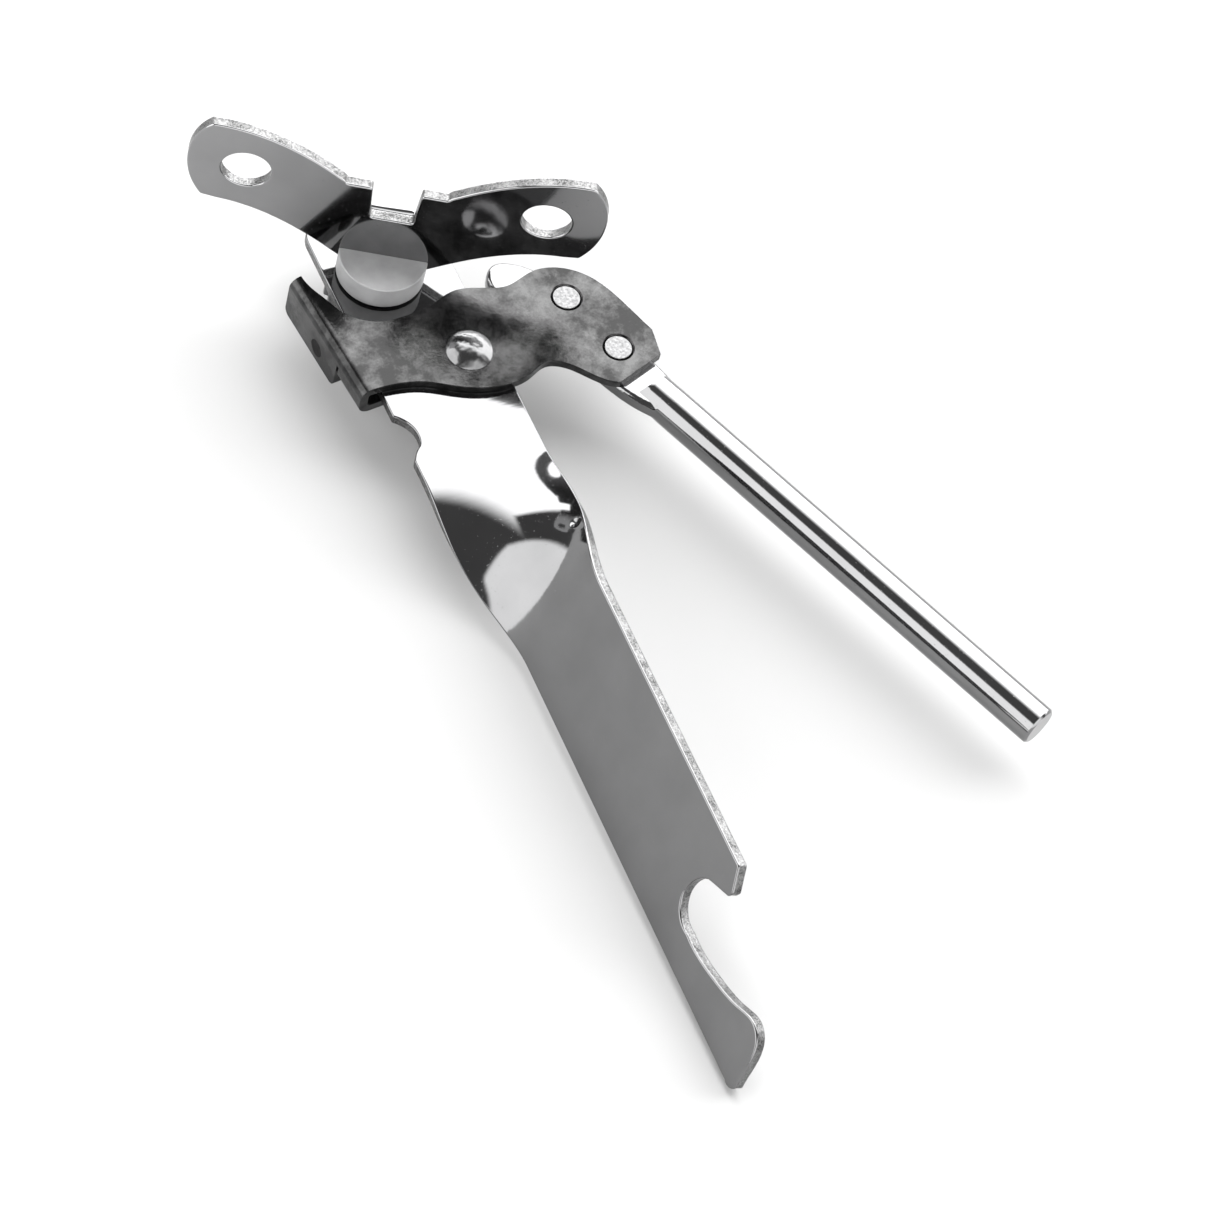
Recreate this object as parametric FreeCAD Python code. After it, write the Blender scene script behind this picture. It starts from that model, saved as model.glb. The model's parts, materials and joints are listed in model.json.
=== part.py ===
import FreeCAD, Part
import math
import os
from FreeCAD import Placement, Rotation, Vector

# Butterfly can opener, millimetres.
# Parts are drawn about the handle pivot: X to the right across the lever, Y along the lever
# towards the feed wheel, Z up along the spindle, z = 0 on the lever's top face.
# At the end everything is shifted so that the origin lies on the spindle axis.

# ---- driving dimensions -------------------------------------------------------------------

# lever handle: a flat strip, twisted and cut as a cap lifter at its far end
lever_thick = 2.0
lever_width = 22.0
lever_side = -5.85          # x of the strip's centre line
lever_top = 34.2            # y of the end beyond the spindle
lever_length = 168.7        # from that end to the tip
lever_corner = 4.7          # corner radius at the spindle end
twist_angle = 64.0
twist_start = -20.0         # y where the twist begins
twist_end = -54.0           # y where it is complete
twist_shift = 0.7           # the far end's offset across the strip, picked up in the twist
twist_yaw = 0.8             # the far end's lean in its own plane, degrees
relief_top = -7.6           # notch in the left edge that lets the guide lip swing through
relief_length = 8.8
relief_depth = 2.4
relief_ease = 2.2           # length of the notch's lower run-out
dimple_radius = 1.1
dimple_depth = 0.35
dimple_y = -39.1
dimple_share = 0.42         # how far out from the centre line, of the strip's width

# cap lifter, measured across the strip from its centre line (u) and from the tip (v)
lifter_hook_outer = 27.4    # v of the hook's outer corner
lifter_hook_tip = 24.6      # v of the hook's tip
lifter_hook_u = 7.3
lifter_hook_flat = 1.1
lifter_throat_radius = 5.2
lifter_throat_u = 0.2
lifter_throat_v = 25.9
lifter_neck = 6.2           # width of the strip left beside the throat
lifter_knob_u = -0.4        # how far out the rounded end of the handle reaches
lifter_knob_v = 6.0
lifter_sweep = [(-3.7, 15.6), (-1.8, 9.9)]              # from the throat out to the knob
lifter_end = [(-1.2, 3.7), (-4.6, 1.5), (-8.3, 0.5)]    # from the knob round to the tip

# wing key
key_thick = 2.0
key_front = 0.0             # the plate's front face, measured from the spindle's axis
key_angle = -28.9           # direction of the wings at rest
key_span = 69.6
key_hole_spacing = 50.0
key_hole_radius = 4.15
key_hole_height = 21.1
key_top = 31.2
key_shoulder_height = 21.9
key_shoulder_half = 8.4
key_notch_half = 4.1
key_notch_foot_half = 3.6
key_notch_height = 14.3
key_tongue_half = 7.0
key_swage_depth = 1.8       # how far the staked foot bulges behind the plate
key_swage_side = 1.0        # the bulge's depth at the notch's two sides
key_swage_drop = 2.6
wing_rise = [(8.9, 22.5), (15.8, 27.1), (23.4, 30.2)]   # upper edge, out from the spindle's axis
wing_corner = 3.4           # the upper outer corner's distance inside the span
wing_end = [(1.2, 28.2), (0.0, 22.0), (1.1, 16.4)]      # rounded end: inside the span, height
wing_tip = (3.0, 12.9)      # lower outer corner: inside the span, height
wing_fall = [(29.0, 12.5), (19.1, 10.0), (12.6, 6.4), (8.3, 3.4)]   # lower edge, back to the boss

# spindle, feed wheel and their washers
spindle_x = -7.6
spindle_y = 20.2
boss_radius = 7.5
boss_height = 4.4
boss_slot_depth = 2.5
boss_chamfer = 0.15
spindle_radius = 4.0
spindle_square = 5.6
spindle_rivet_radius = 4.4
spindle_rivet_height = 1.1
spindle_washer_radius = 6.9
spindle_washer_thick = 0.5
wheel_washer_radius = 6.6
wheel_washer_thick = 0.4
wheel_radius = 9.0
wheel_tooth_depth = 1.1
wheel_teeth = 24
wheel_crest_share = 0.24    # width of a tooth's crest, of the pitch
wheel_thick = 2.6

# head plate, drawn with its flange parallel to the lever
plate_thick = 1.6
rest_open = 5.8             # how far the head stands open at rest
flange_face = 20.85         # distance from the pivot to the flange's outer face
flange_low = -0.7
flange_high = 24.4
fold_radius = 2.0           # outer bend radius at the fold
lip_end = 6.8               # y where the guide lip stops
lip_height = 6.2
lip_fold_radius = 2.4
lip_reach = 6.4             # from the outer face to the lip's free edge
tab_start = 7.4             # y where the deep tab begins
tab_height = 8.7
tab_corner = 1.3
cutout_gap = 2.3            # clearance of the plate's cut-out round the boss
cutout_sweep = (190, 212, 234, 256, 274)    # directions from the spindle, degrees
plate_crest = [(-1.7, 10.7), (3.6, 11.8), (8.7, 10.3), (12.2, 9.2),
               (18.0, 10.2), (25.1, 7.2), (29.2, -1.4)]             # upper edge past the boss
plate_trough = [(13.2, -8.1), (10.9, -7.2), (7.4, -8.2), (3.0, -8.6),
                (-1.4, -7.6), (-6.0, -5.2), (-9.9, -2.7), (-14.0, -1.3)]    # lower edge to the fold
plate_tongue_outer = [(-6.6, 7.2), (-2.2, 4.6)]     # end over the rod: station, across
plate_tongue_inner = [(-2.7, -4.9), (-8.3, -7.9)]

# cutting blade and its rivet
blade_thick = 1.0
blade_height = 5.0
blade_bevel = 0.8
blade_margin = 0.5          # how far the blade stays inside the tab
blade_lift = 0.1            # the cutting edge's height above the tab's lower edge
blade_rise = 1.6            # how far the cutting edge curves up towards its ends
blade_rivet_y = 13.8
blade_rivet_drop = 5.9      # below the plate's top face
blade_rivet_radius = 1.6
blade_rivet_head = 2.3
blade_rivet_head_height = 0.7

# rod handle
rod_radius = 3.5
rod_length = 87.8           # round part, from the shoulder to the free end
rod_angle = -73.1           # direction of the rod in the head plate's drawing
rod_drop = 1.65             # rod axis below the paddle's top face
rod_x = 25.95               # where the shoulder crosses the rod's axis
rod_y = -16.8
rod_chamfer = 0.4
shoulder_station = 0.5      # where the shoulder crosses the paddle's top face
shoulder_draft = 21.0       # its lean towards the free end
shoulder_skew = 7.0         # its turn from square across the rod
grip_start = 6.0            # the rod is full size from here to the free end
rod_neck_radius = 3.42      # drawn in slightly beside the flattened end
paddle_thick = 3.2
paddle_round = 1.0          # rounding of its edges
paddle_root = 4.5           # how far it runs into the rod past the shoulder
paddle_root_half = 3.3
paddle_outer = [(-2.2, 3.9), (-12.0, 4.5), (-21.0, 4.3), (-27.5, 2.5), (-32.1, 0.25)]
paddle_end = (-34.25, -2.9)
paddle_inner = [(-32.6, -5.9), (-28.0, -7.0), (-19.0, -6.3), (-8.0, -5.3), (-2.2, -4.95)]

# rod rivets and the pivot rivet
rivet_outer_station = 7.8   # distances back from the shoulder
rivet_inner_station = 20.6
rivet_inner_offset = 0.75
rod_rivet_radius = 2.35
rod_rivet_sink = 0.45       # countersink round each flush rivet
rod_rivet_foot = 3.2
rod_rivet_foot_height = 0.9
pivot_radius = 2.6
dome_radius = 4.15
dome_height = 1.9
pivot_foot_radius = 4.0
pivot_foot_height = 1.2
pivot_washer_radius = 5.0
pivot_washer_thick = 0.8

# clearances
slide_gap = 0.05            # between faces that slide on each other
running_gap = 0.05          # radial, shafts that turn in their bores
rivet_gap = 0.02            # radial, rivets and plates that don't turn
slot_gap = 0.02             # each side, key in the boss slot

# ---- places that follow from the dimensions -----------------------------------------------

plate_bottom = slide_gap
plate_top = plate_bottom + plate_thick
lever_left = lever_side - lever_width / 2
lever_right = lever_side + lever_width / 2
lever_tip = lever_top - lever_length
spindle = Vector(spindle_x, spindle_y, 0)
boss_bottom = 2 * slide_gap + spindle_washer_thick
boss_top = boss_bottom + boss_height
wheel_washer_top = -lever_thick - slide_gap
wheel_top = wheel_washer_top - wheel_washer_thick
wheel_bottom = wheel_top - wheel_thick
flange_inner = -flange_face + plate_thick
fold_line = -flange_face + fold_radius
paddle_bottom = plate_bottom - paddle_thick
rod_axis_z = plate_bottom - rod_drop
Z = Vector(0, 0, 1)


# ---- helpers ------------------------------------------------------------------------------

def cylinder(radius, low, high, centre=Vector(0, 0, 0)):
    """Upright cylinder between two heights."""
    return Part.makeCylinder(radius, high - low, Vector(centre.x, centre.y, low), Z)


def ring(radius, bore, low, high):
    """Flat washer between two heights."""
    return cylinder(radius, low, high).cut(cylinder(bore, low, high))


def line(a, b):
    return Part.LineSegment(a, b).toShape()


def arc(a, middle, b):
    return Part.Arc(a, middle, b).toShape()


def curve(points):
    """Smooth curve through a few points."""
    spline = Part.BSplineCurve()
    spline.interpolate(points)
    return spline.toShape()


def flat(points):
    return [Vector(x, y, 0) for x, y in points]


def extrude(edges, direction):
    """Solid from the closed outline made by edges in order."""
    return Part.Face(Part.Wire(edges)).extrude(direction)


def cap(radius, height, base, centre, direction):
    """Spherical cap on a flat base: the formed head of a rivet."""
    sphere_radius = (radius * radius + height * height) / (2 * height)
    side = Vector(direction).normalize()
    ball = Part.makeSphere(sphere_radius, centre + side * (base + height - sphere_radius))
    keep = Part.makeCylinder(2 * sphere_radius, 3 * sphere_radius, centre + side * base, side)
    return ball.common(keep)


# ---- lever body ---------------------------------------------------------------------------

def strip_place(y):
    """Place of the strip's cross-section at y; the twist eases in and out between its two ends."""
    share = min(max((twist_start - y) / (twist_start - twist_end), 0), 1)
    share = share * share * (3 - 2 * share)
    turn = Rotation(Vector(0, 1, 0), -twist_angle * share) * Rotation(Z, -twist_yaw * share)
    middle = Vector(lever_side, y, -lever_thick / 2)
    return Placement(middle + turn.multVec(Vector(twist_shift * share, 0, 0)), turn)


def strip_section(y):
    """Rectangular cross-section of the strip at y."""
    place = strip_place(y)
    half = lever_width / 2
    deep = lever_thick / 2
    corners = [(-half, -deep), (half, -deep), (half, deep), (-half, deep)]
    points = [place.multVec(Vector(u, 0, w)) for u, w in corners]
    return Part.makePolygon(points + points[:1])


def lever_head():
    """Flat end that carries the spindle and the pivot, with the relief notch in its left edge."""
    r = lever_corner
    slant = r * (1 - math.sqrt(0.5))
    top, left, right = lever_top, lever_left, lever_right
    low = relief_top - relief_length
    deep = left + relief_depth
    points = flat([
        (left, twist_start), (left, low - 0.6), (left + 0.25, low), (deep - 0.3, low + relief_ease),
        (deep, low + 0.62 * relief_length), (deep - 1.1, relief_top - 1.2), (left, relief_top),
        (left, top - r), (left + slant, top - slant), (left + r, top),
        (right - r, top), (right - slant, top - slant), (right, top - r), (right, twist_start),
    ])
    edges = [
        line(points[0], points[1]),
        curve(points[1:4]),
        curve(points[3:7]),
        line(points[6], points[7]),
        arc(points[7], points[8], points[9]),
        line(points[9], points[10]),
        arc(points[10], points[11], points[12]),
        line(points[12], points[13]),
        line(points[13], points[0]),
    ]
    plate = extrude(edges, Vector(0, 0, -lever_thick))
    plate = plate.cut(cylinder(pivot_radius + running_gap, -lever_thick - 1, 1))
    return plate.cut(cylinder(spindle_radius + running_gap, -lever_thick - 1, 1, spindle))


def lever_twist():
    """Twisted stretch, lofted through turned sections."""
    steps = 12
    run = twist_end - twist_start
    sections = [strip_section(twist_start + run * i / steps) for i in range(steps + 1)]
    return Part.makeLoft(sections, True, False)


def lever_tail():
    """Flat far end with the cap lifter, drawn from the tip (u across, v along) and then placed."""
    half = lever_width / 2
    start = twist_end - lever_tip
    neck_u = lifter_neck - half
    throat = Vector(lifter_throat_u, lifter_throat_v, 0)
    hook_inner = throat + Vector(math.cos(0.7), math.sin(0.7), 0) * lifter_throat_radius
    throat_top = throat + Vector(-0.2, 1, 0).normalize() * lifter_throat_radius
    throat_low = Vector(neck_u, lifter_throat_v - 0.8, 0)
    hook = flat([
        (half, start), (half, lifter_hook_outer), (lifter_hook_u, lifter_hook_tip),
        (lifter_hook_u - lifter_hook_flat, lifter_hook_tip + 0.3),
    ])
    tip = flat([lifter_end[-1], (-9.9, 0), (-10.8, 0.6), (-half, 2.4), (-half, start)])
    knob = Vector(lifter_knob_u, lifter_knob_v, 0)
    edges = [
        line(hook[0], hook[1]),
        line(hook[1], hook[2]),
        line(hook[2], hook[3]),
        line(hook[3], hook_inner),
        arc(hook_inner, throat_top, throat_low),
        curve([throat_low] + flat(lifter_sweep) + [knob] + flat(lifter_end)),
        line(tip[0], tip[1]),
        arc(tip[1], tip[2], tip[3]),
        line(tip[3], tip[4]),
        line(tip[4], hook[0]),
    ]
    tail = extrude(edges, Vector(0, 0, lever_thick))
    tail.translate(Vector(0, -start, -lever_thick / 2))
    place = strip_place(twist_end)
    tail.rotate(Vector(0, 0, 0), place.Rotation.Axis, math.degrees(place.Rotation.Angle))
    tail.translate(place.Base)
    return tail


def lever_dimple():
    """Small punched dimple near the right edge, part way along the twist."""
    ball = (dimple_radius ** 2 + dimple_depth ** 2) / (2 * dimple_depth)
    lift = lever_thick / 2 - dimple_depth + ball
    centre = strip_place(dimple_y).multVec(Vector(lever_width * dimple_share, 0, lift))
    return Part.makeSphere(ball, centre)


def make_lever():
    lever = lever_head().fuse([lever_twist(), lever_tail()]).removeSplitter()
    return lever.cut(lever_dimple())


# ---- head body, drawn with the flange parallel to the lever ---------------------------------

def rod_point(station, across=0.0):
    """Point at a distance past the shoulder along the rod, and across it."""
    a = math.radians(rod_angle)
    along = Vector(math.cos(a), math.sin(a), 0)
    side = Vector(-math.sin(a), math.cos(a), 0)
    return Vector(rod_x, rod_y, 0) + along * station + side * across


def plate_outline():
    """Top sheet of the head plate, up to the fold line; it waves round the boss and rivets."""
    cutout = boss_radius + cutout_gap
    round_boss = []
    for degrees in cutout_sweep:
        a = math.radians(degrees)
        round_boss.append(spindle + Vector(math.cos(a), math.sin(a), 0) * cutout)
    corner = Vector(fold_line, flange_low, 0)
    high = Vector(fold_line, flange_high, 0)
    eased = Vector(fold_line + 0.5, flange_high - 3.0, 0)
    outer = [rod_point(*place) for place in plate_tongue_outer]
    inner = [rod_point(*place) for place in plate_tongue_inner]
    return [
        line(corner, high),
        curve([high, eased] + round_boss + flat(plate_crest) + outer[:1]),
        line(outer[0], outer[1]),
        line(outer[1], inner[0]),
        curve(inner + flat(plate_trough) + [corner]),
    ]


def fold_section(y, height, tail):
    """Cross-section of the fold at y: bend, wall and, with a tail, the lip turned back under."""
    top, face, t = plate_top, -flange_face, plate_thick
    r, s = fold_radius, math.sqrt(0.5)
    low = top - height

    def at(x, z):
        return Vector(x, y, z)

    outer = arc(at(face + r, top), at(face + r - r * s, top - r + r * s), at(face, top - r))
    inner_r = r - t
    inner = arc(at(face + t, top - r), at(face + r - inner_r * s, top - r + inner_r * s),
                at(face + r, top - t))
    if not tail:
        return [outer, line(at(face, top - r), at(face, low)), line(at(face, low), at(face + t, low)),
                line(at(face + t, low), at(face + t, top - r)), inner,
                line(at(face + r, top - t), at(face + r, top))]
    q = lip_fold_radius
    inner_q = q - t
    return [
        outer,
        line(at(face, top - r), at(face, low + q)),
        arc(at(face, low + q), at(face + q - q * s, low + q - q * s), at(face + q, low)),
        line(at(face + q, low), at(face + tail, low)),
        line(at(face + tail, low), at(face + tail, low + t)),
        line(at(face + tail, low + t), at(face + q, low + t)),
        arc(at(face + q, low + t), at(face + q - inner_q * s, low + q - inner_q * s),
            at(face + t, low + q)),
        line(at(face + t, low + q), at(face + t, top - r)),
        inner,
        line(at(face + r, top - t), at(face + r, top)),
    ]


def make_head_plate():
    """Blackened plate: wavy top sheet, fold, deep tab for the blade and curled guide lip."""
    sheet = extrude(plate_outline(), Vector(0, 0, plate_thick))
    sheet.translate(Vector(0, 0, plate_bottom))
    lip = extrude(fold_section(flange_low, lip_height, lip_reach),
                  Vector(0, lip_end - flange_low, 0))
    bend_height = fold_radius + 0.6
    bridge = extrude(fold_section(lip_end, bend_height, 0), Vector(0, tab_start - lip_end, 0))
    tab = extrude(fold_section(tab_start, tab_height, 0), Vector(0, flange_high - tab_start, 0))
    low = plate_top - tab_height
    corners = [e for e in tab.Edges
               if e.BoundBox.XLength > 0.9 * plate_thick and abs(e.BoundBox.ZMax - low) < 1e-3
               and e.BoundBox.YLength < 1e-3]
    tab = tab.makeFillet(tab_corner, corners)
    plate = sheet.fuse([lip, bridge, tab]).removeSplitter()
    for spot in rod_rivet_spots():
        plate = plate.cut(cylinder(rod_rivet_radius + rivet_gap, -1, plate_top + 1, spot))
        sink = Part.makeCone(rod_rivet_radius + rivet_gap, rod_rivet_radius + rod_rivet_sink,
                             rod_rivet_sink, Vector(spot.x, spot.y, plate_top - rod_rivet_sink), Z)
        plate = plate.cut(sink)
    plate = plate.cut(cylinder(pivot_radius + rivet_gap, -1, plate_top + 1))
    return plate.cut(blade_rivet_shank(rivet_gap))


def blade_rivet_centre():
    return Vector(-flange_face, blade_rivet_y, plate_top - blade_rivet_drop)


def blade_rivet_shank(extra=0.0):
    """Shank of the blade rivet; with extra, the hole for it."""
    start = blade_rivet_centre() - Vector(1 if extra else 0, 0, 0)
    length = plate_thick + blade_thick + (2 if extra else 0)
    return Part.makeCylinder(blade_rivet_radius + extra, length, start, Vector(1, 0, 0))


def make_blade_rivet():
    inner = blade_rivet_centre() + Vector(plate_thick + blade_thick, 0, 0)
    head = cap(blade_rivet_head, blade_rivet_head_height, 0, inner, Vector(1, 0, 0))
    return blade_rivet_shank().fuse(head).removeSplitter()


def make_blade():
    """Hardened cutter inside the tab: its lower edge is an arc, bevelled on the wheel's side."""
    low = plate_top - tab_height + blade_lift
    high = low + blade_height
    first = tab_start + blade_margin
    last = flange_high - blade_margin
    x = flange_inner
    middle = (first + last) / 2
    ends = [Vector(x, first, high), Vector(x, first, low + blade_rise),
            Vector(x, last, low + blade_rise), Vector(x, last, high)]
    edge = arc(ends[1], Vector(x, middle, low), ends[2])
    outline = [line(ends[0], ends[1]), edge, line(ends[2], ends[3]), line(ends[3], ends[0])]
    blade = extrude(outline, Vector(blade_thick, 0, 0))
    ground = [e for e in blade.Edges
              if e.BoundBox.XMin > x + blade_thick - 1e-3 and e.BoundBox.ZMax < high - 0.1]
    blade = blade.makeChamfer(blade_bevel, ground)
    return blade.cut(blade_rivet_shank(rivet_gap))


def rod_rivet_spots():
    return [rod_point(-rivet_inner_station, rivet_inner_offset), rod_point(-rivet_outer_station)]


def make_rod_rivet(spot):
    """Flush rivet through the head plate and the paddle, formed over below."""
    shank = cylinder(rod_rivet_radius, paddle_bottom, plate_top, spot)
    foot = cap(rod_rivet_foot, rod_rivet_foot_height, -paddle_bottom, spot, -Z)
    return shank.fuse(foot).removeSplitter()


def rod_shoulder():
    """What the press takes off the rod's end, down to the paddle's top face."""
    deep = 2 * rod_radius
    lean = deep * math.tan(math.radians(shoulder_draft))
    corners = [Vector(x, -deep, z) for x, z in ((-deep, 0), (0, 0), (lean, deep), (-deep, deep))]
    wedge = Part.Face(Part.makePolygon(corners + corners[:1])).extrude(Vector(0, 2 * deep, 0))
    wedge.rotate(Vector(0, 0, 0), Z, -shoulder_skew)
    wedge.translate(Vector(shoulder_station, 0, rod_drop))
    return wedge


def paddle():
    """Flattened end with rounded edges, its top face at z = 0."""
    ends = flat([(paddle_root, paddle_root_half), (paddle_root, -paddle_root_half)])
    side = ends[:1] + flat(paddle_outer) + flat([paddle_end]) + flat(paddle_inner) + ends[1:]
    slab = extrude([curve(side), line(ends[1], ends[0])], Vector(0, 0, -paddle_thick))
    rims = [e for e in slab.Edges if e.BoundBox.ZLength < 1e-3 and e.BoundBox.XMin < -paddle_root]
    return slab.makeFillet(paddle_round, rims)


def make_rod_handle():
    """Round rod, its inner end flattened to a paddle that lies under the head plate."""
    along = Vector(1, 0, 0)
    grip = Part.makeCylinder(rod_radius, rod_length - grip_start, along * grip_start, along)
    free_end = [e for e in grip.Edges if e.BoundBox.XMin > rod_length - 1e-3]
    grip = grip.makeChamfer(rod_chamfer, free_end)
    neck = Part.makeCone(rod_neck_radius, rod_radius, grip_start, Vector(0, 0, 0), along)
    handle = grip.fuse(neck).cut(rod_shoulder())
    flattened = paddle()
    flattened.translate(Vector(0, 0, rod_drop))
    handle = handle.fuse(flattened).removeSplitter()
    handle.rotate(Vector(0, 0, 0), Z, rod_angle)
    handle.translate(rod_point(0) + Vector(0, 0, rod_axis_z))
    for spot in rod_rivet_spots():
        hole = cylinder(rod_rivet_radius + rivet_gap, paddle_bottom - 1, plate_top, spot)
        handle = handle.cut(hole)
    return handle


def make_pivot_rivet():
    """Domed rivet through head plate and lever, formed over the washer below."""
    washer_low = -lever_thick - slide_gap - pivot_washer_thick
    shank = cylinder(pivot_radius, washer_low, plate_top)
    dome = cap(dome_radius, dome_height, plate_top, Vector(0, 0, 0), Z)
    foot = cap(pivot_foot_radius, pivot_foot_height, -washer_low, Vector(0, 0, 0), -Z)
    return shank.fuse([dome, foot]).removeSplitter()


def make_pivot_washer():
    top = -lever_thick - slide_gap
    return ring(pivot_washer_radius, pivot_radius + rivet_gap, top - pivot_washer_thick, top)


# ---- key body, drawn about the spindle axis with the wings along X ---------------------------

def wing(side):
    """Outline edges of one wing, from the notch's foot round to the tongue's lower corner."""
    span = key_span / 2

    def at(k, z):
        return Vector(side * k, 0, z)

    foot = boss_top - boss_slot_depth
    corner = at(span - wing_corner, key_top)
    tip = at(span - wing_tip[0], wing_tip[1])
    rise = [at(*place) for place in wing_rise]
    fall = [at(*place) for place in wing_fall]
    end = [at(span - inside, height) for inside, height in wing_end]
    notch = at(key_notch_foot_half, key_notch_height)
    shoulder = at(key_notch_half, key_shoulder_height)
    ledge = at(key_shoulder_half, key_shoulder_height)
    tongue = at(key_tongue_half, foot)
    return [
        line(at(0, key_notch_height), notch),
        line(notch, shoulder),
        line(shoulder, ledge),
        line(ledge, rise[0]),
        curve(rise + [corner]),
        curve([corner] + end + [tip]),
        line(tip, fall[0]),
        curve(fall),
        line(fall[-1], tongue),
        line(tongue, at(0, foot)),
    ]


def key_swage():
    """Metal pushed out behind the notch's foot where the key is staked."""
    half = key_notch_foot_half
    back = key_front + key_thick
    low = key_notch_height - key_swage_drop
    sides = [Vector(x, back + key_swage_side, low) for x in (-half, half)]
    inside = [Vector(x, key_front, low) for x in (-half, half)]
    crown = Vector(0, back + key_swage_depth, low)
    edges = [
        line(inside[1], inside[0]),
        line(inside[0], sides[0]),
        arc(sides[0], crown, sides[1]),
        line(sides[1], inside[1]),
    ]
    bulge = extrude(edges, Vector(0, 0, key_swage_drop))
    rim = [e for e in bulge.Edges
           if e.BoundBox.ZMax < low + 1e-3 and e.BoundBox.YMin > back + key_swage_side - 1e-3]
    return bulge.makeChamfer(0.9 * key_swage_side, rim)


def make_wing_key():
    """Two-winged key plate; its tongue stands in the boss slot, the notch foot is swaged."""
    key = key_swage()
    foot = Vector(0, 0, boss_top - boss_slot_depth)
    for side in (1, -1):
        closing = line(foot, Vector(0, 0, key_notch_height))
        plate = extrude(wing(side) + [closing], Vector(0, key_thick, 0))
        plate.translate(Vector(0, key_front, 0))
        key = key.fuse(plate)
    key = key.removeSplitter()
    for side in (1, -1):
        start = Vector(side * key_hole_spacing / 2, key_front - 1, key_hole_height)
        key = key.cut(Part.makeCylinder(key_hole_radius, key_thick + 2, start, Vector(0, 1, 0)))
    return key


def make_drive_spindle():
    """Slotted boss, round shank in the lever, square for the wheel and a formed end."""
    boss = cylinder(boss_radius, boss_bottom, boss_top)
    rim = [e for e in boss.Edges if e.BoundBox.ZMin > boss_top - 1e-3]
    boss = boss.makeChamfer(boss_chamfer, rim)
    shank = cylinder(spindle_radius, wheel_top, boss_bottom)
    side = spindle_square
    square = Part.makeBox(side, side, wheel_thick, Vector(-side / 2, -side / 2, wheel_bottom))
    end = cap(spindle_rivet_radius, spindle_rivet_height, -wheel_bottom, Vector(0, 0, 0), -Z)
    across = 4 * boss_radius
    slot = Part.makeBox(across, key_thick + 2 * slot_gap, boss_slot_depth + 1,
                        Vector(-across / 2, key_front - slot_gap, boss_top - boss_slot_depth))
    return boss.fuse([shank, square, end]).removeSplitter().cut(slot)


def make_feed_wheel():
    """Toothed wheel on the spindle's square."""
    points = []
    pitch = 360 / wheel_teeth
    root = wheel_radius - wheel_tooth_depth
    for i in range(wheel_teeth):
        crest = wheel_crest_share / 2
        for radius, share in ((root, -0.5), (wheel_radius, -crest), (wheel_radius, crest)):
            a = math.radians(pitch * (i + share))
            points.append(Vector(radius * math.cos(a), radius * math.sin(a), wheel_bottom))
    disc = Part.Face(Part.makePolygon(points + points[:1])).extrude(Vector(0, 0, wheel_thick))
    side = spindle_square + 2 * rivet_gap
    hole = Part.makeBox(side, side, wheel_thick + 2, Vector(-side / 2, -side / 2, wheel_bottom - 1))
    return disc.cut(hole)


def make_spindle_washer():
    return ring(spindle_washer_radius, spindle_radius + running_gap, slide_gap,
                slide_gap + spindle_washer_thick)


def make_wheel_washer():
    return ring(wheel_washer_radius, spindle_radius + running_gap,
                wheel_washer_top - wheel_washer_thick, wheel_washer_top)


# ---- assembly and export ----------------------------------------------------------------------

def main():
    inner_spot, outer_spot = rod_rivet_spots()
    head = {
        "head_plate": make_head_plate(),
        "cutting_blade": make_blade(),
        "blade_rivet": make_blade_rivet(),
        "rod_handle": make_rod_handle(),
        "rod_rivet_inner": make_rod_rivet(inner_spot),
        "rod_rivet_outer": make_rod_rivet(outer_spot),
        "pivot_rivet": make_pivot_rivet(),
        "pivot_washer": make_pivot_washer(),
    }
    key = {
        "wing_key": make_wing_key(),
        "drive_spindle": make_drive_spindle(),
        "spindle_washer": make_spindle_washer(),
        "feed_wheel": make_feed_wheel(),
        "wheel_washer": make_wheel_washer(),
    }
    for shape in head.values():
        shape.rotate(Vector(0, 0, 0), Z, rest_open)
    for shape in key.values():
        shape.rotate(Vector(0, 0, 0), Z, key_angle)
        shape.translate(spindle)

    os.makedirs("parts", exist_ok=True)
    for name, shape in {"lever_handle": make_lever(), **head, **key}.items():
        shape.translate(-spindle)
        shape.exportStep("parts/" + name + ".step")
        box = shape.BoundBox
        print(name, shape.isValid(), len(shape.Solids), round(shape.Volume, 2),
              [round(v, 2) for v in (box.XMin, box.YMin, box.ZMin, box.XMax, box.YMax, box.ZMax)])


main()
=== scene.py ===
import json
import math

import bmesh
import bpy
from mathutils import Matrix, Vector, noise
from mathutils.geometry import delaunay_2d_cdt


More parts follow.
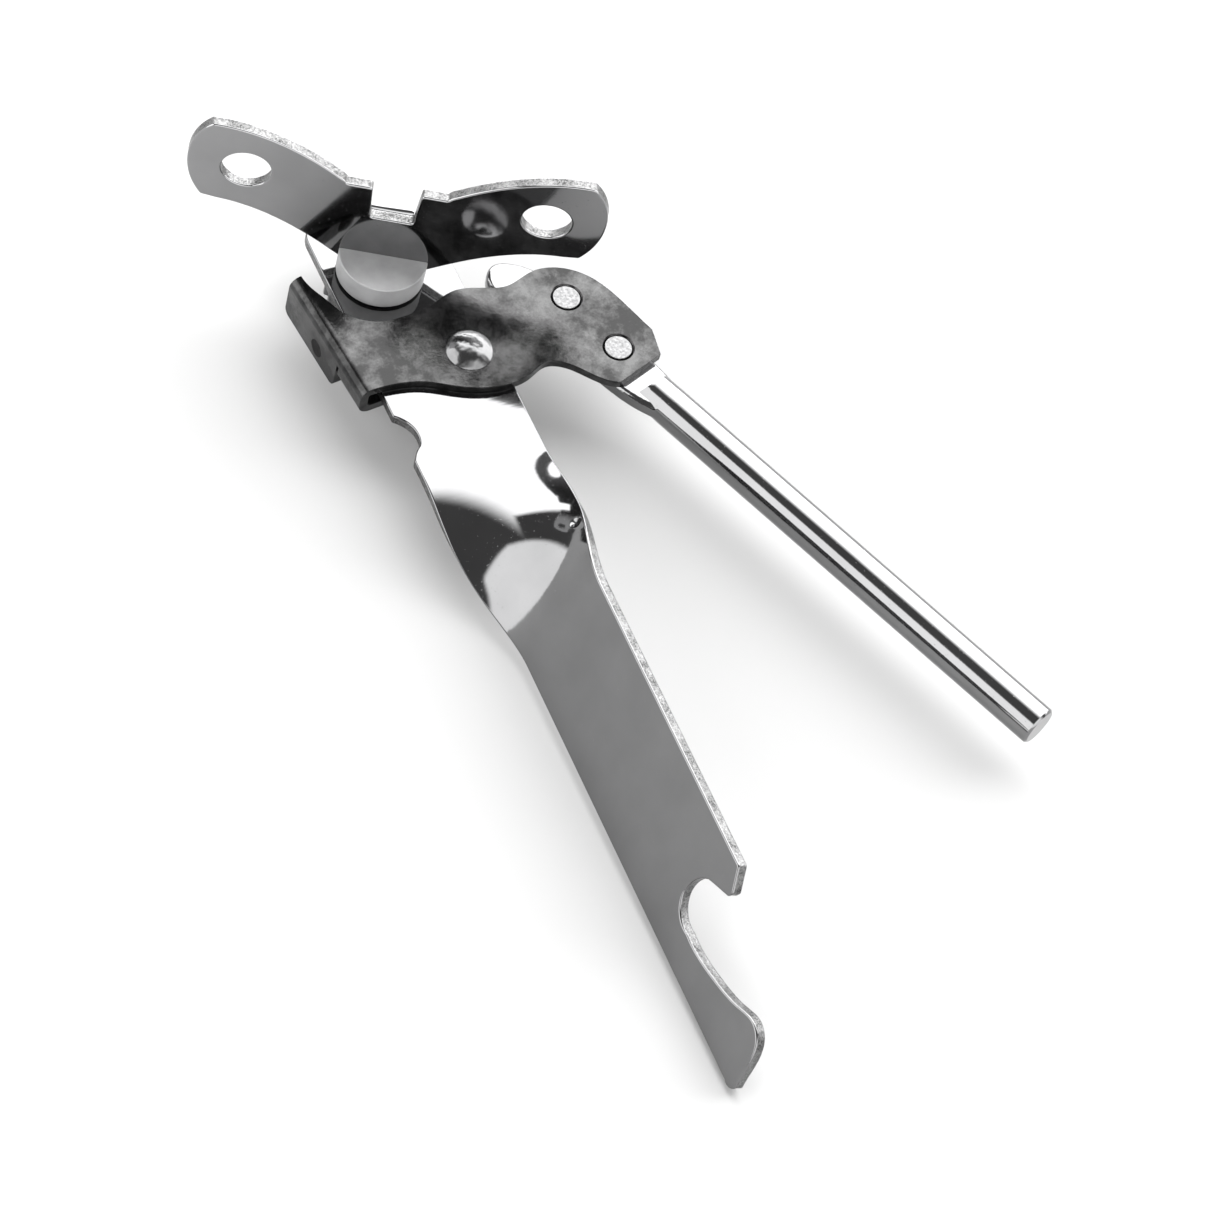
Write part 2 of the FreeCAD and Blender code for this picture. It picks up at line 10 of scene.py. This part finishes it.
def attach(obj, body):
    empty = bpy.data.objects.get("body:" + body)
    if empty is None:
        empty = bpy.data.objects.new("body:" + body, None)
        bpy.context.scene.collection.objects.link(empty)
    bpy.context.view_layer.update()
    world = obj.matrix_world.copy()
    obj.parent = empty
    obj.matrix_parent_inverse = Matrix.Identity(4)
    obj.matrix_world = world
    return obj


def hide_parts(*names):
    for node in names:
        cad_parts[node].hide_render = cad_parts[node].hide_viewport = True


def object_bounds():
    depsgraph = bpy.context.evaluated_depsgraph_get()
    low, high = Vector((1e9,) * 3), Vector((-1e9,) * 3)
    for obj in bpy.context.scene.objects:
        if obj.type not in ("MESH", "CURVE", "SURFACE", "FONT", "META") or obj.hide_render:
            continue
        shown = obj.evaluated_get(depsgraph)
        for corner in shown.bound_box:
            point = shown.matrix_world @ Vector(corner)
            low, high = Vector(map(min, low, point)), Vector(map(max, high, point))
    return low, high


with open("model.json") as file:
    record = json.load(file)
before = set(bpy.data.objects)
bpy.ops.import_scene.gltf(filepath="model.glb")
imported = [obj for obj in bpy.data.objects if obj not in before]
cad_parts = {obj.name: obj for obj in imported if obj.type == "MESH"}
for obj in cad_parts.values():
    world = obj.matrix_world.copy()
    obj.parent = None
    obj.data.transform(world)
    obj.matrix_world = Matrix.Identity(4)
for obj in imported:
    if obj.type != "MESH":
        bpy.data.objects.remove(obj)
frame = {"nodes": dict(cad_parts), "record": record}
cad_low, cad_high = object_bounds()

MM = 0.001
slot_of = {part["node"]: part["material_slot"] for part in frame["record"]["subparts"]}
body_of = {node: body for body, nodes in frame["record"]["behaviour"]["bodies"].items()
           for node in nodes}


# ---- material helpers

class Shader:
    """A material's node tree, with short calls that add and join its nodes."""

    def __init__(self, name):
        self.material = bpy.data.materials.new(name)
        self.material.use_nodes = True
        self.nodes = self.material.node_tree.nodes
        self.links = self.material.node_tree.links
        self.main = next(n for n in self.nodes if n.type == "BSDF_PRINCIPLED")
        self.place = self.nodes.new("ShaderNodeTexCoord").outputs["Object"]

    def join(self, source, target):
        self.links.new(source, target)

    def stretched(self, along, across):
        """Object coordinates scaled by along on the first axis and by across on the other two."""
        node = self.nodes.new("ShaderNodeMapping")
        node.inputs["Scale"].default_value = (along, across, across)
        self.join(self.place, node.inputs["Vector"])
        return node.outputs["Vector"]

    def noise(self, scale, detail=4.0, rough=0.55, place=None):
        node = self.nodes.new("ShaderNodeTexNoise")
        node.inputs["Scale"].default_value = scale
        node.inputs["Detail"].default_value = detail
        node.inputs["Roughness"].default_value = rough
        self.join(self.place if place is None else place, node.inputs["Vector"])
        return node.outputs["Fac"]

    def ramp(self, source, low, high, start, end):
        """source between low and high becomes start to end, held beyond them."""
        node = self.nodes.new("ShaderNodeMapRange")
        node.clamp = True
        node.inputs["From Min"].default_value = low
        node.inputs["From Max"].default_value = high
        node.inputs["To Min"].default_value = start
        node.inputs["To Max"].default_value = end
        self.join(source, node.inputs["Value"])
        return node.outputs["Result"]

    def shades(self, source, dark, light):
        """A colour between dark and light, following source from 0 to 1."""
        node = self.nodes.new("ShaderNodeMix")
        node.data_type = "RGBA"
        node.inputs["A"].default_value = (*dark, 1)
        node.inputs["B"].default_value = (*light, 1)
        self.join(source, node.inputs["Factor"])
        return node.outputs["Result"]

    def bump(self, source, depth, strength=1.0, below=None):
        """Raises the surface by depth, in metres, where source is 1."""
        node = self.nodes.new("ShaderNodeBump")
        node.inputs["Distance"].default_value = depth
        node.inputs["Strength"].default_value = strength
        self.join(source, node.inputs["Height"])
        if below is not None:
            self.join(below, node.inputs["Normal"])
        return node.outputs["Normal"]

    def set(self, **values):
        """Sets or joins inputs of the main shader; an underscore in a name is a space."""
        for name, value in values.items():
            socket = self.main.inputs[name.replace("_", " ")]
            if isinstance(value, bpy.types.NodeSocket):
                self.join(value, socket)
            else:
                socket.default_value = value


def grey(value):
    """A neutral colour with a trace of blue."""
    return (value, value, value * 1.01)


# ---- materials

def plated(name, low, high, rough, grain):
    """Bright plating: a mirror with a faint cloudiness, fine specks and drawn lines."""
    s = Shader(name)
    cloud = s.ramp(s.noise(90, 3), 0.35, 0.65, 0, 1)
    speck = s.ramp(s.noise(2600, 2, 0.6), 0.70, 0.78, 0, 1)
    lines = s.noise(1.0, 3, 0.6, s.stretched(*grain))
    s.set(Metallic=1.0, Base_Color=s.shades(cloud, grey(low), grey(high)))
    s.set(Roughness=s.ramp(cloud, 0, 1, rough, rough * 1.6))
    fine = s.bump(lines, 0.004 * MM)
    s.set(Normal=s.bump(speck, 0.01 * MM, 1.0, fine))
    return s.material


def sheared(name):
    """Torn edge of a stamping: bright plating, finely roughened, with darker patches."""
    s = Shader(name)
    strokes = s.ramp(s.noise(3000, 3, 0.7), 0.38, 0.58, 0, 1)
    patches = s.ramp(s.noise(300, 2, 0.6), 0.40, 0.60, 0.03, 0.10)
    shade = s.nodes.new("ShaderNodeMath")
    shade.operation = "MULTIPLY_ADD"
    s.join(strokes, shade.inputs[0])
    shade.inputs[1].default_value = 0.13
    s.join(patches, shade.inputs[2])
    s.set(Metallic=1.0, Base_Color=shade.outputs[0], Roughness=0.34)
    s.set(Normal=s.bump(strokes, 0.02 * MM))
    return s.material


def blackened(name):
    """Semi-gloss black finish, very finely dimpled, with shinier worn patches."""
    s = Shader(name)
    patch = s.ramp(s.noise(120, 7, 0.75), 0.42, 0.62, 0, 1)
    dimple = s.noise(2600, 3, 0.6)
    wave = s.noise(420, 3, 0.6)
    s.set(Base_Color=s.shades(patch, grey(0.002), grey(0.008)), Metallic=0.0)
    s.set(Specular_IOR_Level=s.ramp(patch, 0, 1, 0.27, 0.88))
    s.set(Roughness=s.ramp(patch, 0, 1, 0.17, 0.26))
    s.set(Normal=s.bump(dimple, 0.009 * MM, 1.0, s.bump(wave, 0.045 * MM)))
    return s.material


def dull_black(name):
    """Matt black end of a rivet, a little mottled."""
    s = Shader(name)
    cloud = s.ramp(s.noise(900, 3), 0.4, 0.6, 0, 1)
    s.set(Base_Color=s.shades(cloud, grey(0.002), grey(0.010)), Metallic=0.0)
    s.set(Specular_IOR_Level=0.12, Roughness=s.ramp(cloud, 0, 1, 0.5, 0.6))
    s.set(Normal=s.bump(cloud, 0.01 * MM))
    return s.material


def worked_steel(name, low, high, rough, scale, depth):
    """Bare steel whose face carries small pits and marks."""
    s = Shader(name)
    marks = s.ramp(s.noise(scale, 3, 0.6), 0.36, 0.64, 0, 1)
    s.set(Metallic=1.0, Base_Color=s.shades(marks, grey(low), grey(high)))
    s.set(Roughness=s.ramp(marks, 0, 1, rough * 1.3, rough))
    s.set(Normal=s.bump(marks, depth * MM))
    return s.material


def satin_steel(name):
    """Dull satin finish that scatters more than it mirrors."""
    s = Shader(name)
    cloud = s.ramp(s.noise(300, 3), 0.35, 0.65, 0, 1)
    s.set(Metallic=0.0, IOR=1.7, Base_Color=s.shades(cloud, grey(0.27), grey(0.32)))
    s.set(Roughness=s.ramp(cloud, 0, 1, 0.40, 0.48))
    s.set(Normal=s.bump(s.noise(2500, 2), 0.006 * MM))
    return s.material


looks = {
    "chrome_lever": plated("chrome_lever", 0.18, 0.20, 0.05, (40, 900)),
    "chrome_rod": plated("chrome_rod", 0.21, 0.23, 0.06, (2000, 2000)),
    "chrome_key": plated("chrome_key", 0.28, 0.31, 0.06, (60, 60)),
    "black_plate": blackened("black_plate"),
    "hard_steel": worked_steel("hard_steel", 0.14, 0.22, 0.30, 900, 0.02),
    "dark_rivet": dull_black("dark_rivet"),
    "bright_rivet": worked_steel("bright_rivet", 0.11, 0.19, 0.26, 1900, 0.02),
    "hammered_rivet": worked_steel("hammered_rivet", 0.13, 0.19, 0.18, 150, 0.16),
    "satin_steel": satin_steel("satin_steel"),
    "plain_steel": worked_steel("plain_steel", 0.18, 0.26, 0.32, 1200, 0.02),
}
torn = sheared("torn_edge")


# ---- pieces

same_place = 1e-6
flat_angle = math.radians(0.2)
hard_angle = math.radians(28.0)


def is_hard(edge):
    return edge.is_manifold and edge.calc_face_angle() > hard_angle


def bevel(bm, edges, width, segments):
    bmesh.ops.bevel(bm, geom=edges, offset=width, segments=segments, profile=0.5,
                    affect="EDGES", clamp_overlap=True)


def show(node, mesh, *materials):
    """Shows mesh in place of the CAD node, on the same body and with the same finish."""
    piece = bpy.data.objects.new(mesh.name, mesh)
    bpy.context.scene.collection.objects.link(piece)
    for material in materials:
        mesh.materials.append(material)
    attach(piece, body_of[node])
    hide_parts(node)
    return piece


def rounded(node, width):
    """A piece with the CAD node's own shape, its hard edges rounded to width."""
    bm = bmesh.new()
    bm.from_mesh(frame["nodes"][node].data)
    bmesh.ops.remove_doubles(bm, verts=bm.verts, dist=same_place)
    bmesh.ops.dissolve_limit(bm, angle_limit=flat_angle, verts=bm.verts, edges=bm.edges)
    bevel(bm, [e for e in bm.edges if is_hard(e)], width, 2)
    show_smooth(node, node + "_shown", bm)


def show_smooth(node, name, bm):
    """Shows bm for the CAD node, shaded smoothly over its roundings and flat on its faces."""
    mesh = bpy.data.meshes.new(name)
    bm.to_mesh(mesh)
    bm.free()
    for layer in [a for a in mesh.attributes if a.name == "custom_normal"]:
        mesh.attributes.remove(layer)
    mesh.polygons.foreach_set("use_smooth", [True] * len(mesh.polygons))
    piece = show(node, mesh, looks[slot_of[node]])
    weighted = piece.modifiers.new("flat faces stay flat", "WEIGHTED_NORMAL")
    weighted.keep_sharp = True


# ---- stamped sheet pieces

# the lever's strip in the row frame: flat head, twist, flat tail
strip_centre = 1.75 * MM
strip_thick = 2.0 * MM
twist_start = -40.2 * MM
twist_end = -74.2 * MM
twist_angle = math.radians(64.0)
twist_yaw = math.radians(0.8)
twist_shift = 0.7 * MM


class FlatPlate:
    """A flat plate's own frame: u and v across its face, w through its thickness."""

    def __init__(self, middle, along, up, thick):
        self.place = Matrix((along, up, along.cross(up))).transposed().to_4x4()
        self.place.translation = middle
        self.back = self.place.inverted()
        self.thick = thick

    def flat(self, point):
        return self.back @ point

    def solid(self, u, v, w):
        return self.place @ Vector((u, v, w))


class TwistedStrip:
    """The lever's frame: u across the strip, v along it, w through its thickness."""

    thick = strip_thick

    def section(self, v):
        """The strip's middle point at v, and how far it has turned there."""
        share = min(max((twist_start - v) / (twist_start - twist_end), 0), 1)
        share = share * share * (3 - 2 * share)
        turn = Matrix.Rotation(-twist_angle * share, 3, "Y")
        turn = turn @ Matrix.Rotation(-twist_yaw * share, 3, "Z")
        middle = Vector((strip_centre, max(v, twist_end), -strip_thick / 2))
        return middle + turn @ Vector((twist_shift * share, 0, 0)), turn

    def flat(self, point):
        middle, turn = self.section(point.y)
        local = turn.inverted() @ (point - middle)
        if point.y > twist_end:
            return Vector((local.x, point.y, local.z))
        middle, turn = self.section(twist_end)
        local = turn.inverted() @ (point - middle)
        return Vector((local.x, twist_end + local.y, local.z))

    def solid(self, u, v, w):
        middle, turn = self.section(v)
        return middle + turn @ Vector((u, min(v - twist_end, 0), w))


def face_loops(node, shape, height):
    """Outline and holes of a CAD plate's face at that height, as lists of flat points."""
    bm = bmesh.new()
    bm.from_mesh(frame["nodes"][node].data)
    bmesh.ops.remove_doubles(bm, verts=bm.verts, dist=same_place)
    place = {v: shape.flat(v.co) for v in bm.verts}
    near = 0.08 * MM
    side = [f for f in bm.faces if all(abs(place[v].z - height) < near for v in f.verts)]
    known = set(side)
    after = {}
    for face in side:
        for loop in face.loops:
            if not any(f in known for f in loop.edge.link_faces if f != face):
                after[loop.vert] = loop.link_loop_next.vert
    loops = []
    while after:
        first, vert = after.popitem()
        points = [place[first].xy]
        while vert != first:
            points.append(place[vert].xy)
            vert = after.pop(vert)
        loops.append(points)
    bm.free()
    return loops


def area(points):
    """Area inside a loop of flat points, above zero if it runs anticlockwise."""
    pairs = zip(points, points[1:] + points[:1])
    return sum(a.cross(b) for a, b in pairs) / 2


bend_limit = math.radians(24)
long_chord = 2.5
shortest_chord = 0.02 * MM
widest_cut = 1 / 2.2


def lean_at(before, after):
    """The curve's direction where two chords meet; a much longer chord sets it alone."""
    if before.length > long_chord * after.length:
        return before.normalized()
    if after.length > long_chord * before.length:
        return after.normalized()
    return (before.normalized() / before.length + after.normalized() / after.length).normalized()


def eased_corners(points, corner):
    """(point, direction) round the loop, with each sharp corner cut back over corner."""
    chords = [points[(i + 1) % len(points)] - p for i, p in enumerate(points)]
    eased = []
    for i, point in enumerate(points):
        before, after = chords[i - 1], chords[i]
        turn = abs(before.angle_signed(after))
        if turn < bend_limit:
            eased.append((point, lean_at(before, after)))
        else:
            spare = min(before.length, after.length) * widest_cut
            cut = min(corner * math.tan(turn / 2), spare)
            first = point - before.normalized() * cut
            last = point + after.normalized() * cut
            middle = point * 0.5 + (first + last) * 0.25
            eased += [(first, before.normalized()), (middle, (last - first).normalized()),
                      (last, after.normalized())]
    return eased


def fine_loop(points, spacing, corner):
    """The loop with its corners eased over corner and its curves redrawn at that spacing."""
    points = [p for i, p in enumerate(points) if (p - points[i - 1]).length > shortest_chord]
    eased = eased_corners(points, corner)
    fine = []
    for i, (start, leaving) in enumerate(eased):
        end, arriving = eased[(i + 1) % len(eased)]
        length = (end - start).length
        parts = max(1, math.ceil(length / spacing))
        for k in range(parts):
            t = k / parts
            t2, t3 = t * t, t * t * t
            fine.append(start * (2 * t3 - 3 * t2 + 1) + leaving * length * (t3 - 2 * t2 + t)
                        + end * (3 * t2 - 2 * t3) + arriving * length * (t3 - t2))
    return fine


def inward(points):
    """Unit directions into the material, for a loop that has the material on its left."""
    count = len(points)
    found = []
    for i in range(count):
        along = (points[(i + 1) % count] - points[i - 1]).normalized()
        found.append(Vector((-along.y, along.x)))
    return found


def off_line(points):
    """The loop in millimetres with every second point moved in a little, so none lie in line."""
    nudge = 0.002
    return [p + lean * nudge * (i % 2) for i, (p, lean) in enumerate(zip(points, inward(points)))]


def inside(point, loops):
    """True if point lies in the outline and in none of the holes."""
    odd = False
    for points in loops:
        for a, b in zip(points, points[1:] + points[:1]):
            if (a.y > point.y) != (b.y > point.y):
                if point.x < a.x + (b.x - a.x) * (point.y - a.y) / (b.y - a.y):
                    odd = not odd
    return odd


rim_radius = 0.28 * MM
rim_steps = 3
wall_steps = 5
tear_depth = 0.07 * MM
torn_patch = 0.55 * MM
flat_share = 1.25
same_flat_place = 1e-5


def rim_rings(half, rim):
    """(inset, height) down the edge of a plate; the inset is None on the torn wall."""
    turns = [math.pi / 2 * k / rim_steps for k in range(rim_steps + 1)]
    arc = [(rim * (1 - math.sin(a)), half - rim * (1 - math.cos(a))) for a in turns]
    drop = 2 * (half - rim) / wall_steps
    wall = [(None, half - rim - drop * k) for k in range(1, wall_steps)]
    flat = rim * flat_share
    return [(flat, half)] + arc + wall + [(i, -w) for i, w in reversed(arc)] + [(flat, -half)]


class Stamping:
    """A stamped plate in the making: its corners, its faces and each face's material."""

    def __init__(self, half):
        self.half = half
        self.verts = []
        self.faces = []
        self.kinds = []

    def add_side(self, points, rings, tear):
        """One loop's rims and torn wall; gives back its first and its last ring of corners."""
        first = len(self.verts)
        count = len(points)
        leans = inward(points)
        for inset, w in rings:
            for point, lean in zip(points, leans):
                depth = inset
                if inset is None:
                    spot = Vector((point.x, point.y, w)) / torn_patch
                    depth = tear * (0.5 + 0.5 * noise.noise(spot))
                moved = point + lean * depth
                self.verts.append((moved.x, moved.y, w))
        for r in range(len(rings) - 1):
            for i in range(count):
                j = (i + 1) % count
                a, b = first + r * count, first + (r + 1) * count
                self.faces.append((a + i, b + i, b + j, a + j))
                self.kinds.append(1 if rim_steps < r <= rim_steps + wall_steps else 0)
        last = first + (len(rings) - 1) * count
        return range(first, first + count), range(last, last + count)

    def add_face(self, height, rims, grid, dent):
        """The flat face inside the rims, with the grid's points lowered by dent."""
        loops = [off_line([Vector(self.verts[i][:2]) / MM for i in rim]) for rim in rims]
        points = [p for loop in loops for p in loop]
        own = [i for rim in rims for i in rim]
        edges = []
        for loop in loops:
            start = len(edges)
            edges += [(start + k, start + (k + 1) % len(loop)) for k in range(len(loop))]
        for point in grid:
            own.append(len(self.verts))
            points.append(point / MM)
            self.verts.append((point[0], point[1], height - dent(*point)))
        spots, _, triangles, sources = delaunay_2d_cdt(
            points, edges, [], 0, same_flat_place)[:4]
        final = []
        for spot, source in zip(spots, sources):
            if source:
                final.append(own[source[0]])
            else:
                final.append(len(self.verts))
                self.verts.append((spot.x * MM, spot.y * MM, height))
        for triangle in triangles:
            middle = sum((spots[k] for k in triangle), Vector((0, 0))) / 3
            if inside(middle, loops):
                corners = [final[k] for k in triangle]
                self.faces.append(corners if height > 0 else corners[::-1])
                self.kinds.append(0)

    def mesh(self, name, shape):
        mesh = bpy.data.meshes.new(name)
        mesh.from_pydata([shape.solid(*v) for v in self.verts], [], self.faces)
        mesh.polygons.foreach_set("use_smooth", [True] * len(self.faces))
        mesh.polygons.foreach_set("material_index", self.kinds)
        return mesh


def no_dent(u, v):
    return 0


def stamped(name, shape, loops, corner, spacing, grid=(), dent=no_dent):
    """A stamped plate: flat faces, rounded rims and a torn wall between them.

    Face materials: 0 on the faces and rims, 1 on the wall. grid adds points to both faces, and
    dent(u, v) lowers the top one.
    """
    plate = Stamping(shape.thick / 2)
    rings = rim_rings(plate.half, rim_radius)
    sides = [plate.add_side(fine_loop(loop, spacing, corner), rings, tear_depth) for loop in loops]
    plate.add_face(plate.half, [top for top, bottom in sides], grid, dent)
    plate.add_face(-plate.half, [bottom for top, bottom in sides], grid, no_dent)
    return plate.mesh(name, shape)


def lever_grid(dimple, dimple_radius):
    """Points over the twist, and rings of points round the dimple in place of the nearest."""
    step = 0.8 * MM
    side = 10.4 * MM
    near = 1.7 * dimple_radius
    columns = int(side / step)
    grid = []
    for i in range(int((twist_start - twist_end + 6 * MM) / step)):
        for k in range(-columns, columns + 1):
            point = Vector((k * step, twist_start + 3 * MM - i * step))
            if (point - dimple).length > near:
                grid.append(point)
    rings, spokes = 8, 24
    grid.append(dimple)
    for r in range(1, rings + 1):
        for a in range(spokes):
            turn = 2 * math.pi * (a + r / 2) / spokes
            point = dimple + Vector((math.cos(turn), math.sin(turn))) * near * 0.9 * r / rings
            if point.x < side:
                grid.append(point)
    return grid


def make_lever():
    """The lever: one twisted strip with worn rims, torn edges and a small punched dimple."""
    shape = TwistedStrip()
    half = strip_thick / 2
    smallest_hole = 8 * MM * MM
    loops = [points for points in face_loops("lever_handle", shape, half)
             if abs(area(points)) > smallest_hole]
    dimple = Vector((9.24 * MM, -59.3 * MM))
    dimple_radius = 1.1 * MM
    dimple_depth = 0.35 * MM

    def dent(u, v):
        share = (Vector((u, v)) - dimple).length / dimple_radius
        return dimple_depth * max(0, 1 - share * share) ** 2

    grid = lever_grid(dimple, dimple_radius)
    mesh = stamped("lever_handle_shown", shape, loops, 0.6 * MM, 0.3 * MM, grid, dent)
    show("lever_handle", mesh, looks["chrome_lever"], torn)


def make_key():
    """The wing key: a stamped plate with two holes and a staked foot behind its notch."""
    mounts = {mount["name"]: mount for mount in frame["record"]["mounts"]}
    left, right = (Vector(mounts["wing_hole_" + side]["pos_m"]) for side in ("left", "right"))
    thick = mounts["wing_hole_left"]["dims"]["length_mm"] * MM
    along = (right - left).normalized()
    shape = FlatPlate((left + right) / 2, along, Vector((0, 0, 1)), thick)
    loops = face_loops("wing_key", shape, thick / 2)
    mesh = stamped("wing_key_shown", shape, loops, 0.65 * MM, 0.25 * MM)
    show("wing_key", mesh, looks["chrome_key"], torn)
    make_stake(shape)


def make_stake(shape):
    """The metal that staking pushed out behind the key's notch, cut from the CAD node."""
    back = -shape.thick / 2
    apart = 0.03 * MM
    bm = bmesh.new()
    bm.from_mesh(frame["nodes"]["wing_key"].data)
    bmesh.ops.remove_doubles(bm, verts=bm.verts, dist=same_place)
    outward = -shape.place.col[2].to_3d()
    everything = bm.verts[:] + bm.edges[:] + bm.faces[:]
    cut = bmesh.ops.bisect_plane(bm, geom=everything, plane_co=shape.solid(0, 0, back - apart),
                                 plane_no=outward, clear_inner=True)
    rim = [e for e in cut["geom_cut"] if isinstance(e, bmesh.types.BMEdge)]
    bmesh.ops.edgenet_fill(bm, edges=rim)
    bmesh.ops.dissolve_limit(bm, angle_limit=flat_angle, verts=bm.verts, edges=bm.edges)
    low = min(v.co.dot(outward) for v in bm.verts) + same_place
    free = [e for e in bm.edges if any(v.co.dot(outward) > low for v in e.verts)]
    bevel(bm, [e for e in free if is_hard(e)], 0.2 * MM, 3)
    bmesh.ops.translate(bm, verts=bm.verts, vec=-2 * apart * outward)
    show_smooth("wing_key", "wing_key_stake", bm)


make_lever()
make_key()

edge_rounding = {
    "head_plate": 0.25, "cutting_blade": 0.08, "blade_rivet": 0.1,
    "rod_handle": 0.12, "rod_rivet_inner": 0.12, "rod_rivet_outer": 0.12, "pivot_rivet": 0.12,
    "pivot_washer": 0.1, "drive_spindle": 0.15, "spindle_washer": 0.06,
    "feed_wheel": 0.1, "wheel_washer": 0.06,
}
for node, width in edge_rounding.items():
    rounded(node, width * MM)


# ---- floor, light and camera

def make_floor():
    """Plain pale floor just below the opener."""
    reach = 3.0
    mesh = bpy.data.meshes.new("floor")
    corners = [(-reach, -reach, 0), (reach, -reach, 0), (reach, reach, 0), (-reach, reach, 0)]
    mesh.from_pydata(corners, [], [(0, 1, 2, 3)])
    floor = bpy.data.objects.new("floor", mesh)
    floor.location.z = cad_low.z - 0.1 * MM
    bpy.context.scene.collection.objects.link(floor)
    paint = bpy.data.materials.new("floor")
    paint.use_nodes = True
    main = next(n for n in paint.node_tree.nodes if n.type == "BSDF_PRINCIPLED")
    main.inputs["Base Color"].default_value = (0.48, 0.48, 0.48, 1)
    main.inputs["Roughness"].default_value = 0.9
    main.inputs["Specular IOR Level"].default_value = 0.0
    mesh.materials.append(paint)


canopy_light = 5.6
wall_light = 3.2
near_light = 2.6
gap_light = 0.2


class Sky:
    """The world's node tree, with short calls for sums on its directions."""

    def __init__(self, name):
        self.world = bpy.data.worlds.new(name)
        self.world.use_nodes = True
        self.nodes = self.world.node_tree.nodes
        self.links = self.world.node_tree.links
        place = self.nodes.new("ShaderNodeTexCoord").outputs["Generated"]
        split = self.nodes.new("ShaderNodeSeparateXYZ")
        self.links.new(place, split.inputs[0])
        self.x = split.outputs["X"]
        self.y = split.outputs["Y"]

    def sum(self, operation, first, second):
        node = self.nodes.new("ShaderNodeMath")
        node.operation = operation
        for socket, value in zip(node.inputs, (first, second)):
            if isinstance(value, bpy.types.NodeSocket):
                self.links.new(value, socket)
            else:
                socket.default_value = value
        return node.outputs[0]

    def step(self, source, low, high, start, end):
        """start below low, end above high, and a smooth change between them."""
        node = self.nodes.new("ShaderNodeMapRange")
        node.interpolation_type = "SMOOTHSTEP"
        node.inputs["From Min"].default_value = low
        node.inputs["From Max"].default_value = high
        node.inputs["To Min"].default_value = start
        node.inputs["To Max"].default_value = end
        self.links.new(source, node.inputs["Value"])
        return node.outputs["Result"]


def canopy_over(sky):
    """White canopy towards the far right, with a dark block let into its left end."""
    towards = sky.sum("ADD", sky.sum("MULTIPLY", sky.x, 0.57), sky.sum("MULTIPLY", sky.y, 0.82))
    canopy = sky.step(towards, 0.08, 0.42, 0.0, canopy_light)
    beside_block = sky.step(sky.x, -0.23, -0.16, 0.0, 1.0)
    below_block = sky.step(sky.y, 0.47, 0.55, 1.0, 0.0)
    return sky.sum("MULTIPLY", canopy, sky.sum("MAXIMUM", beside_block, below_block))


def wall_at_left(sky):
    """Grey wall whose right edge leans outwards as it comes nearer."""
    nearness = sky.sum("MINIMUM", sky.sum("SUBTRACT", sky.y, 0.25), 0.0)
    beyond = sky.sum("SUBTRACT", sky.x, sky.sum("MULTIPLY", nearness, 0.34))
    wall = sky.step(beyond, -0.60, -0.53, wall_light, 0.0)
    return sky.sum("MULTIPLY", wall, sky.step(sky.y, -0.32, -0.24, 0.0, 1.0))


def make_studio():
    """Soft light: canopy far and right, wall on the left, a light behind the camera."""
    sky = Sky("studio")
    bpy.context.scene.world = sky.world
    light = sky.sum("ADD", sky.sum("MAXIMUM", canopy_over(sky), wall_at_left(sky)), gap_light)
    light = sky.sum("ADD", light, sky.step(sky.y, -0.78, -0.52, near_light, 0.0))
    background = sky.nodes["Background"]
    background.inputs["Color"].default_value = (1, 1, 1, 1)
    sky.links.new(light, background.inputs["Strength"])


def make_camera():
    """Camera above the lower left of the opener, looking down across it."""
    data = bpy.data.cameras.new("camera")
    data.lens = 133.44
    data.sensor_width = 36.0
    data.clip_start = 0.01
    camera = bpy.data.objects.new("camera", data)
    forward = Vector((0.358933, 0.434181, -0.826229))
    right = Vector((0.896609, -0.406359, 0.175967))
    up = right.cross(forward)
    turn = Matrix((right, up, -forward)).transposed()
    camera.matrix_world = Matrix.Translation((-0.2514, -0.3885, 0.6007)) @ turn.to_4x4()
    bpy.context.scene.collection.objects.link(camera)
    bpy.context.scene.camera = camera


make_floor()
make_studio()
make_camera()
bpy.context.scene.view_settings.view_transform = "Standard"
